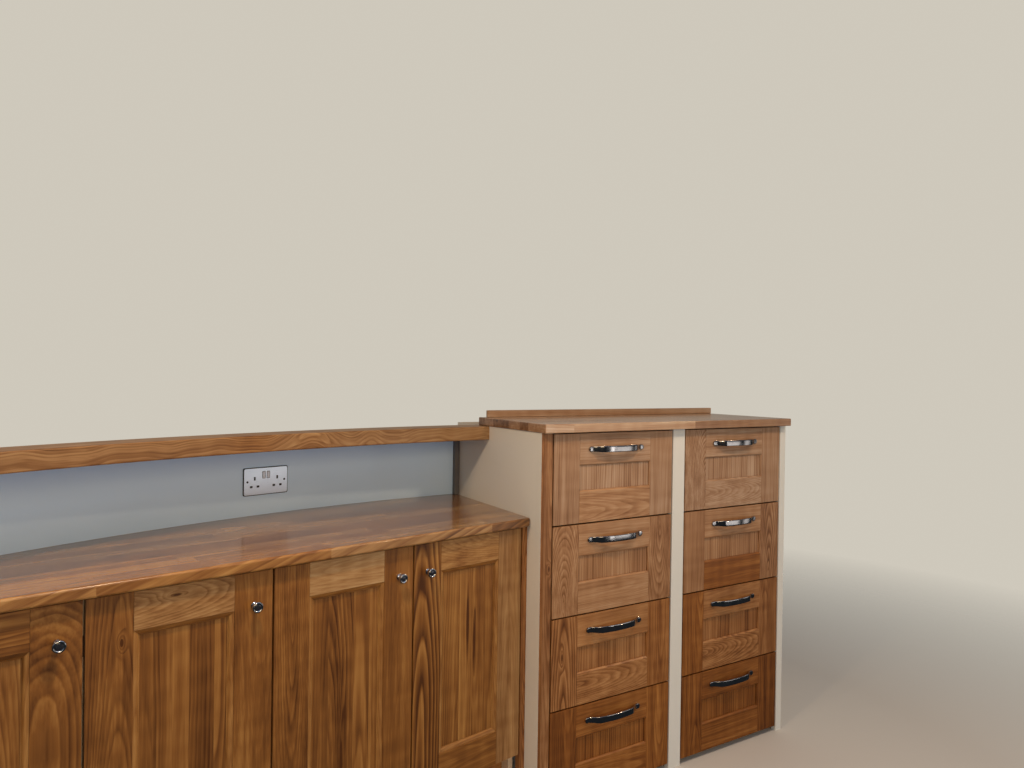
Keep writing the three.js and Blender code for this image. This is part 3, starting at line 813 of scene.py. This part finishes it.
def screw_nodes():
    """Geometry nodes that set a slotted screw head on each point, each turned by chance."""
    tree = bpy.data.node_groups.new("slotted screws", "GeometryNodeTree")
    names = {}
    for label, kind in (
        ("Points", "Geometry"), ("Head", "Float"), ("Stands", "Float"), ("Facing", "Vector"), ("Metal", "Material"),
    ):
        socket = tree.interface.new_socket(label, in_out="INPUT", socket_type=f"NodeSocket{kind}")
        names[label] = socket.identifier
    tree.interface.new_socket("Geometry", in_out="OUTPUT", socket_type="NodeSocketGeometry")
    group = tree.nodes.new("NodeGroupInput")
    points, head, stands, facing, metal = (Shade(tree, socket) for socket in group.outputs if socket.name)
    disc = head.node("GeometryNodeMeshCylinder", {}, {
        "Vertices": SCREW["sides"], "Radius": head, "Depth": stands * 2})
    slot = head.node("GeometryNodeMeshCube", {}, {
        "Size": head.vector(head * SCREW["slot long"], head * SCREW["slot wide"], stands * 2)})
    sunk = head.node("GeometryNodeTransform", {}, {"Geometry": slot, "Translation": head.vector(0, 0, stands * 1.5)})
    slotted = head.node("GeometryNodeMeshBoolean", {"operation": "DIFFERENCE"}, {"Mesh 1": disc, "Mesh 2": sunk})
    turn = head.node("FunctionNodeRandomValue", {"data_type": "FLOAT"}, {
        2: -SCREW["turn"], 3: SCREW["turn"], "Seed": 4}, 1)
    aimed = head.node("FunctionNodeAlignRotationToVector", {"axis": "Z"}, {"Vector": facing})
    spin = head.node("FunctionNodeAxisAngleToRotation", {}, {"Axis": (0, 0, 1), "Angle": turn})
    spun = head.node(
        "FunctionNodeRotateRotation", {"rotation_space": "LOCAL"}, {"Rotation": aimed, "Rotate By": spin})
    heads = head.node("GeometryNodeInstanceOnPoints", {}, {"Points": points, "Instance": slotted, "Rotation": spun})
    real = head.node("GeometryNodeRealizeInstances", {}, {0: heads})
    metalled = head.node("GeometryNodeSetMaterial", {}, {"Geometry": real, "Material": metal})
    tree.links.new(metalled.socket, tree.nodes.new("NodeGroupOutput").inputs[0])
    return tree, names


screw_tree, screw_inputs = screw_nodes()


def worked(name, holder, modifier):
    """The plain mesh that an object's modifier makes. The object goes."""
    made = bpy.data.meshes.new_from_object(holder.evaluated_get(bpy.context.evaluated_depsgraph_get()))
    made.name = name
    holder.modifiers.remove(modifier)
    bpy.data.objects.remove(holder)
    return made


def screws(name, place, points, metal, body="carcass", head=SCREW["head"], stands=SCREW["stands"], side=-1):
    """Slotted screw heads at points of a piece's own frame, facing to one side of it along y."""
    facing = (place.to_3x3() @ Vector((0, side, 0))).normalized()
    seeds = bpy.data.meshes.new(name)
    seeds.from_pydata([place @ point for point in points], [], [])
    holder = placed(name, seeds)
    nodes = holder.modifiers.new("screws", "NODES")
    nodes.node_group = screw_tree
    for label, value in (("Head", head * MM), ("Stands", stands * MM), ("Facing", facing), ("Metal", metal)):
        nodes[screw_inputs[label]] = value
    finish_piece(name, worked(name, holder, nodes), metal, body=body)


screws("hinge_plate_screws", run_place, [
    Vector((u, HINGE["front"], foot + (HINGE["height"] + side * SCREW["apart"]) / 2))
    for u in (end_lo.x + HINGE["in"] + HINGE["width"] / 2, *PLATE_MIDDLES) for foot in HINGE_FEET for side in (-1, 1)
], nickel)

# Doors
# Full-height stiles with rails between them, an ovolo moulding mitred round the opening and a panel of glued
# staves behind it. Each door has a turned knob and hangs on concealed hinges.

DOOR = {"stile": 90, "top": 84, "bottom": 100, "thick": 20}
# the doors' usual tone, warmth and figure, painted darker and warmer for the shade low under the worktop
DOOR_OAK_IN_SHADE = (0.365, 0.64, 0.5)
# columns: distance in from the frame's edge, distance back from the door's face
MOULDING = (
    (0, 1.8), (5.5, 2.6), (8.2, 3.6), (10.4, 5.4), (11.8, 7.8), (12.3, 9.2), (14, 9.2), (14, 10), (5, 10), (5, 20),
    (0, 20))
# columns: tone and warmth of the bottom, right, top and left mouldings
# the top moulding faces down and is painted darker and warmer for its shade
MOULDING_OAK = ((0.44, 0.5), (0.44, 0.5), (0.31, 0.7), (0.44, 0.5))
# the same for the doors, where None is left to chance
DOOR_BOARDS = {
    (1, "left stile"): (0.31, 0.64, 0.6, None, None, 60),
    (1, "right stile"): (0.29, 0.64, 0.65, 30, -16, 0, 2.4, 13, 73),
    (1, "top rail"): (0.32, 0.64, 0.7, 40, 20, 30),
    (2, "left stile"): (0.33, 0.64, 0.6, 40, 16, 45, 1, 0, 0, (22, 252, 2.6, 1)),
    (2, "right stile"): (0.27, 0.64, 0.2, 60, 12, -50),
    (2, "top rail"): (0.50, 0.0, 0.6, 26, 14, 150, 1, 0, 0, (20, -22, 3, 0.8)),
    (3, "left stile"): (0.30, 0.64, 0.6, 26, 2, -70),
    (3, "right stile"): (0.27, 0.64, 0.15, 60, 10, 30),
    (3, "top rail"): (0.56, -0.1, 0.3, 30, 10, -90),
    (4, "left stile"): (0.33, 0.64, 1.4, 36, -18, 40, 2.0),
    (4, "right stile"): (0.47, 0.0, 0.2, 60, 8, 40),
    (4, "top rail"): (0.46, 0.3, 0.4, 24, 40, -170),
    (4, "bottom rail"): (0.36, 0.64, 0.4, 50, 10, 40),
}
# columns: width of a stave in millimetres, its tone, its figure, how it leans, and its dark heart where it has one
# the staves' tones, and their warmth in door_panel, are painted dark and warm for the same shade
DOOR_STAVES = {
    1: ((52, 0.33, 0.6, 20), (48, 0.38, 0.5, 60), (60, 0.38, 0.8, 30), (43, 0.42, 0.6, 50)),
    2: ((36, 0.31, 0.4, 20), (40, 0.33, 0.6, 15), (36, 0.38, 0.6, 10), (55, 0.27, 0.5, 20), (36, 0.38, 0.9, 5)),
    3: ((29, 0.31, 0.5, 20), (20, 0.29, 0.5, 20), (67, 0.32, 0.8, 60, (4, -200, 3, 0.14)), (44, 0.34, 0.7, 15),
        (8, 0.54, 0.2, 5), (23, 0.34, 0.3, 5)),
    4: ((70, 0.39, 0.5, 20), (5, 0.56, 0.2, 5), (42, 0.37, 0.6, 8, (4, 90, 4.5, 0.14)),
        (45, 0.37, 0.6, 15, (-14, 40, 4.5, 0.16)), (41, 0.38, 0.5, 15)),
}


def door_frame(number):
    lo, hi = extent(f"door_{number}_frame", run_place)
    work = Joinery(run_place, 70 + number)
    boards = {row[0]: DOOR_BOARDS.get((number, row[0]), DOOR_OAK_IN_SHADE) for row in DRAWER_FRAME}
    x, z = framed(work, lo, hi, DOOR["stile"], DOOR["bottom"], DOOR["top"], lo.y + DOOR["thick"], boards)
    corners = ((x[1], z[1], 1, 1), (x[2], z[1], -1, 1), (x[2], z[2], -1, -1), (x[1], z[2], 1, -1))
    for i, (tone, warmth) in enumerate(MOULDING_OAK):
        ends = [
            [Vector((px + ix * w, lo.y + d, pz + iz * w)) for w, d in MOULDING]
            for px, pz, ix, iz in (corners[i], corners[(i + 1) % 4])]
        work.solid(*ends, *("xz" if i % 2 == 0 else "zx"), tone=tone, figure=0.3, warmth=warmth)
    return work


def door_panel(number, staves):
    lo, hi = extent(f"door_{number}_panel", run_place)
    work = Joinery(run_place, 80 + number)
    total = sum(stave[0] for stave in staves)
    edge = lo.x
    for width, tone, figure, lean, *heart in staves:
        end = edge + (hi.x - lo.x) * width / total
        work.board(
            (edge, lo.y, lo.z), (end, hi.y, hi.z), "z", tone=tone, figure=figure, warmth=0.62, lean=lean,
            depth=work.draw.uniform(20, 60), centre=work.draw.uniform(-60, 60), growth=1.4,
            knot=heart[0] if heart else Joinery.SOUND)
        edge = end
    return work


honey_oak = board_material("honey_oak", 0.40, 0.08, 0.25, 0.28, HONEY_OAK)
for number, staves in DOOR_STAVES.items():
    name = f"door_{number}"
    door_frame(number).finish(f"{name}_frame", honey_oak, body=name)
    door_panel(number, staves).finish(f"{name}_panel", honey_oak, 0, name)

# Door knobs and hinge cups
# Knobs turned from steel, each on a bolt through the stile, with a bright rim round a dark disc that paints the
# dark reflection in the dished face. The hinge cups are pressed into holes bored in the back of the door's other
# stile.

# columns: radius, distance towards the room from the face, or for the cup from the door's back
KNOB_TURNING = (
    (8.5, 0.0), (8.5, 1.6), (7.8, 2.4), (5.8, 3.4), (5.0, 6.0), (5.0, 11.5), (6.0, 14.0), (8.8, 16.0), (12.0, 17.8),
    (13.3, 19.8), (13.4, 21.6), (12.8, 24.0), (11.6, 25.3), (10.3, 25.6), (8.8, 25.0), (8.0, 23.4))
KNOB_FACE = ((8.0, 23.2), (8.0, 23.8), (6.4, 24.3), (3.8, 24.6), (1.0, 24.7))
CUP_TURNING = ((17.5, -0.12), (15.0, -0.12), (14.2, -0.02))
CUP = {"in": 23, "screws in": 6, "screws apart": 48}
TURNED_SIDES = 40

chrome = speckled("chrome", 90, 2, (0.50, 0.48, 0.46), (0.66, 0.64, 0.62), 1.0, 0.06, 0.10)
# a painted reflection: the dark room as the knob's dished face shows it
painted_reflection_disc = speckled("painted_reflection_disc", 140, 2, (0.030, 0.031, 0.040), (0.085, 0.085, 0.10), 0.7, 0.10, 0.12)


def turn_form(work, profile, foot):
    """A turned form along the run's y axis, its foot at a point and its end towards the room."""
    angles = [2 * math.pi * k / TURNED_SIDES for k in range(TURNED_SIDES)]
    skin(work, [
        [work.verts.new(run_place @ (foot + Vector((r * math.cos(a), -out, r * math.sin(a))))) for a in angles]
        for r, out in profile])


for number in DOOR_STAVES:
    name = f"door_{number}"
    lo, hi = extent(f"{name}_knob", run_place)
    foot = Vector(((lo.x + hi.x) / 2, hi.y, (lo.z + hi.z) / 2))
    for part, profile, node, metal in (
        ("turned", KNOB_TURNING, f"{name}_knob", chrome), ("face", KNOB_FACE, None, painted_reflection_disc),
    ):
        work = bmesh.new()
        turn_form(work, profile, foot)
        finish_piece(f"{name}_knob_{part}", work, metal, node, name, smooth=True)
    lo, hi = extent(f"{name}_frame", run_place)
    edge, inward = (lo.x, 1) if number < 4 else (hi.x, -1)
    work = bmesh.new()
    places = []
    for z in HINGE_FEET:
        middle = Vector((edge + inward * CUP["in"], DOOR_BACK, z + HINGE["height"] / 2))
        turn_form(work, CUP_TURNING, middle)
        for side in (-1, 1):
            places.append(middle + Vector((inward * CUP["screws in"], 0, side * CUP["screws apart"] / 2)))
    finish_piece(f"{name}_hinge_cups", work, nickel, body=name)
    screws(f"{name}_hinge_screws", run_place, places, nickel, name, side=1)

# Hull panel and corner batten
# Plywood bent to the hull, standing on the low worktop, its face painted white with a blue tint that paints cool
# daylight. A square batten of smoked oak covers its corner with the chest.

# white paint with a blue tint for the painted cool daylight on the panel
HULL_WHITE_AND_DAYLIGHT = (0.69, 0.85, 0.99)
hull_centre = chest_place @ HULL.to_3d()


def bare_hull(x, y):
    return (x - hull_centre.x).hypot(y - hull_centre.y).maths("GREATER_THAN", (HULL_FACE + 1) * MM)


dress("hull_panel", paint("hull_paint", HULL_WHITE_AND_DAYLIGHT, bare_hull))
one_board("corner_batten", chest_place, 91, "z", "dark_oak", smoked_oak, 1.2, tone=0.8, warmth=0.0)

# Ledge
# One deep board of wavy oak, sawn to the hull's curve and planed, its front edges rounded and satin lacquered. It
# lies on the hull panel and is let in under the chest's worktop, with a rebate along the back of its top.

LEDGE_FRONT = 2904
LEDGE_STEPS = 240
LEDGE_ROUND = 4.5
LEDGE_ROUND_STEPS = 4
REBATE = {"from": 100, "deep": 16}
PITH = {"back": 44, "up": -34}
# columns: length of a wave in millimetres, how far it moves the pith back, how far it moves the pith up
LEDGE_WAVES = ((820, 6, 5), (230, 2.0, 4.0), (91, 0.6, 1.6))
# columns: a swirl's place from the chest in millimetres, its reach along the board, how close it brings the pith,
# how far up it brings it, and how much darker and redder it is
LEDGE_SWIRLS = ((640, 75, 22, 58, 0.5), (820, 70, 12, -6, 1.0), (440, 40, 10, 12, 0.2))

lo, hi = extent("ledge", chest_place)
section = [(HULL_BACK, lo.z)]
for z, way, steps in ((lo.z, 1, range(LEDGE_ROUND_STEPS + 1)), (hi.z, -1, range(LEDGE_ROUND_STEPS, -1, -1))):
    for i in steps:
        angle = math.pi / 2 * i / LEDGE_ROUND_STEPS
        section.append((
            LEDGE_FRONT + LEDGE_ROUND * (1 - math.sin(angle)), z + way * LEDGE_ROUND * (1 - math.cos(angle))))
rebate, rebate_floor = LEDGE_FRONT + REBATE["from"], hi.z - REBATE["deep"]
section += [(rebate, hi.z), (rebate, rebate_floor), (HULL_BACK, rebate_floor)]
first, last = arc_ends(LEDGE_FRONT)
ledge = Joinery(chest_place, 95)
rings = []
for i in range(LEDGE_STEPS + 1):
    share = i / LEDGE_STEPS
    length = share * LEDGE_FRONT * (last - first)
    pith, rise, swirl = PITH["back"], PITH["up"], 0
    for wave, moves_back, moves_up in LEDGE_WAVES:
        pith += moves_back * math.sin(2 * math.pi * length / wave + wave)
        rise += moves_up * math.cos(2 * math.pi * length / wave)
    for place, reach, closer, up, redder in LEDGE_SWIRLS:
        near = math.exp(-((length - place) / reach) ** 2)
        pith -= closer * near
        rise += up * near
        swirl += redder * near
    stock = (0.51 - 0.14 * share - 0.07 * swirl, 0.55 + 0.3 * swirl, -0.45 + 0.55 * swirl)
    ring = []
    for radius, z in section:
        grain = Vector((z - (lo.z + hi.z) / 2 - rise, radius - LEDGE_FRONT + pith, length)) * (MM / 1.3)
        point = Vector((*on_arc(radius, share), z))
        ring.append(ledge.corner(point, grain, stock, Vector(Joinery.SOUND[:3]) * MM))
    rings.append(ring)
skin(ledge.mesh, rings)
ledge.finish("ledge", honey_oak, 0)

# Socket plate
# A double socket: a plate of brushed steel on a black moulded body, screwed flat to the hull panel. It has two
# white rockers and the slots of two outlets, with nothing printed on it.

SOCKET = {"width": 146, "height": 86, "x": -719, "z": 1021, "corner": 5, "thick": 5, "body": 4}
PLATE = {"inset": 2.1, "edge": 0.4, "screws": 60.5, "screw head": 3.3, "screw stands": 0.5}
ROCKER = {"width": 10, "height": 22, "apart": 7.3, "z": 19, "gap": 1.4, "stands": 0.9}
OUTLET = 37
SLOT_CORNER = 0.8
BLOCK_STEPS = 4
# columns: across from an outlet's middle, up from the plate's middle, width, height
SLOTS = ((0, 9, 5.4, 10.5), (-11, -16, 8.4, 6.4), (11, -16, 8.4, 6.4))

turn = math.asin((HULL.x - SOCKET["x"]) / HULL_FACE)
sagitta = HULL_FACE - math.sqrt(HULL_FACE ** 2 - (SOCKET["width"] / 2) ** 2)
socket_place = (
    chest_place @ Matrix.Translation((HULL.x, HULL.y, 0)) @ Matrix.Rotation(turn, 4, "Z")
    @ Matrix.Translation((0, HULL_FACE - sagitta - SEAT, SOCKET["z"])))


def block(work, x, z, width, height, near, far, corner):
    """A plate with rounded corners about a point of the wall, between two distances out from it."""
    outline = []
    for side_x, side_z, first in ((1, -1, -90), (1, 1, 0), (-1, 1, 90), (-1, -1, 180)):
        for i in range(BLOCK_STEPS + 1):
            angle = math.radians(first + 90 * i / BLOCK_STEPS)
            outline.append((
                x + side_x * (width / 2 - corner) + corner * math.cos(angle),
                z + side_z * (height / 2 - corner) + corner * math.sin(angle)))
    skin(work, [[work.verts.new(socket_place @ Vector((a, -out, b))) for a, b in outline] for out in (near, far)])


brushed_steel, shader, place = new_material("brushed_steel")
brushing = place.from_frame(turn).noise(26, 26, 1500, 2)
plug(
    shader, Base_Color=brushing.blend((0.68, 0.75, 0.84), (0.82, 0.89, 0.98)), Metallic=0.7,
    Roughness=brushing * 0.12 + 0.24, Normal=bump(brushing, 0.00002))
black_plastic = speckled("black_plastic", 800, 1, (0.012, 0.012, 0.014), (0.03, 0.03, 0.033), 0.0, 0.40, 0.15)
rocker_white = speckled("rocker_white", 300, 1, (0.78, 0.81, 0.86), (0.88, 0.90, 0.95), 0.0, 0.28, 0.10)

body, blank, cutters, rockers = (bmesh.new() for i in range(4))
block(body, 0, 0, SOCKET["width"], SOCKET["height"], 0, SOCKET["body"], SOCKET["corner"])
width, height = (SOCKET[size] - PLATE["inset"] * 2 for size in ("width", "height"))
block(blank, 0, 0, width, height, SOCKET["body"], SOCKET["thick"], SOCKET["corner"])
for side in (-1, 1):
    for across, up, width, height in SLOTS:
        block(cutters, side * OUTLET + across, up, width, height, -1, SOCKET["thick"] + 1, SLOT_CORNER)
    x, width, height = side * ROCKER["apart"], ROCKER["width"], ROCKER["height"]
    block(cutters, x, ROCKER["z"], width, height, -1, SOCKET["thick"] + 1, 1.0)
    block(
        rockers, x, ROCKER["z"], width - ROCKER["gap"] * 2, height - ROCKER["gap"] * 2, SOCKET["body"],
        SOCKET["thick"] + ROCKER["stands"], SLOT_CORNER)
finish_piece("socket_gasket", body, black_plastic, ease=0.3)

cutter = placed("cutter", to_mesh("cutter", cutters))
blank = placed("blank", to_mesh("blank", blank))
punched = blank.modifiers.new("punched", "BOOLEAN")
punched.operation = "DIFFERENCE"
punched.object = cutter
punched.solver = "EXACT"
plate = worked("socket_plate_steel", blank, punched)
bpy.data.objects.remove(cutter)
finish_piece("socket_plate_steel", plate, brushed_steel, "socket_plate", ease=PLATE["edge"], segments=3)
finish_piece("socket_rockers", rockers, rocker_white, ease=0.7)

screws(
    "socket_screws", socket_place, [Vector((side * PLATE["screws"], -SOCKET["thick"], 0)) for side in (-1, 1)],
    black_plastic, head=PLATE["screw head"], stands=PLATE["screw stands"])

# Studio
# A plain pale floor that fades into a plain pale surround, a row of small warm lamps above the room side of the
# furniture, and large soft lamps above and in front of it. The surround behind it is a soft cream.

FLOOR_REACH = 7
FLOOR_PALE = (0.62, 0.56, 0.49)
FADE = {"from": 4.4, "over": 2.4}
BACKDROP = (0.62, 0.58, 0.50)
BEHIND = (0.34, 0.31, 0.26)
DAYLIGHT = (1.0, 0.97, 0.94)
# columns: place across and back, power
WARM_LAMPS = ((-1.940, -0.669, 11.0), (-0.628, -0.754, 11.0), (0.687, -0.920, 6.4), (2.002, -1.020, 7.0))
# columns: name, place, what it faces, width, height, power, colour, whether polished metal shows it
LAMPS = (
    *((f"warm_lamp_{x}", (x, y, 2.0), (x, y, 0), 0.10, 0.10, power, (1.0, 0.76, 0.50), True)
      for x, y, power in WARM_LAMPS),
    ("soft_overhead", (0.2, -1.3, 2.3), (0.2, -1.3, 0), 2.6, 1.0, 4.0, (0.50, 0.62, 1.0), True),
    ("soft_front", (-0.5, -3.2, 1.85), (-0.5, 0.1, 1.0), 1.4, 0.8, 22.0, (1.0, 0.76, 0.44), True),
    ("soft_low", (-0.5, -3.4, 0.85), (-0.4, 0.1, 0.95), 3.6, 1.3, 21.0, (0.42, 0.68, 1.0), False),
    ("soft_right", (3.18, -3.10, 0.48), (0.55, -0.22, 0.48), 1.35, 0.95, 5.1, DAYLIGHT, True),
    ("tall_right", (2.41, -3.65, 0.6), (0.55, -0.22, 0.6), 0.25, 1.2, 3.2, DAYLIGHT, True),
    ("far_right", (4.04, -1.96, 0.6), (0.55, -0.22, 0.6), 0.48, 1.2, 1.8, DAYLIGHT, True),
)
# columns: height of the sky, red, green, blue
SURROUND = (
    (0.00, 0.02, 0.025, 0.03), (0.50, 0.02, 0.025, 0.03), (0.72, 0.14, 0.17, 0.21), (1.00, 0.22, 0.27, 0.34))

floor_mesh = bpy.data.meshes.new("floor")
floor_corners = [(x * FLOOR_REACH, y * FLOOR_REACH, 0) for x, y in ((-1, -1), (1, -1), (1, 1), (-1, 1))]
floor_mesh.from_pydata(floor_corners, [], [(0, 1, 2, 3)])
floor = placed("floor", floor_mesh)
floor_paint, shader, place = new_material("floor_paint")
x, y, z = place.axes()
solid = ((FADE["from"] - x.hypot(y)) / FADE["over"]).within()
plug(shader, Base_Color=FLOOR_PALE, Roughness=0.75, Alpha=solid)
floor_mesh.materials.append(floor_paint)
floor.visible_glossy = False

for name, place, target, width, height, power, colour, reflected in LAMPS:
    data = bpy.data.lights.new(name, "AREA")
    data.shape = "RECTANGLE"
    data.size = width
    data.size_y = height
    data.energy = power
    data.color = colour
    lamp = placed(name, data)
    lamp.location = place
    lamp.rotation_euler = (Vector(target) - Vector(place)).to_track_quat("-Z", "Y").to_euler()
    lamp.visible_camera = False
    lamp.visible_glossy = reflected

world = bpy.data.worlds.new("surround")
world.use_nodes = True
sky = Shade(world.node_tree)
aside, back, height = sky.node("ShaderNodeTexCoord", {}, {}, "Generated").axes()
glow = (back * 2 - 0.3).within().blend((height * 0.5 + 0.5).ramp(SURROUND), BEHIND)
seen = sky.node("ShaderNodeLightPath", {}, {}, "Is Camera Ray")
background = world.node_tree.nodes["Background"]
world.node_tree.links.new(seen.blend(glow, BACKDROP).socket, background.inputs[0])
bpy.context.scene.world = world
bpy.context.scene.view_settings.view_transform = "Standard"
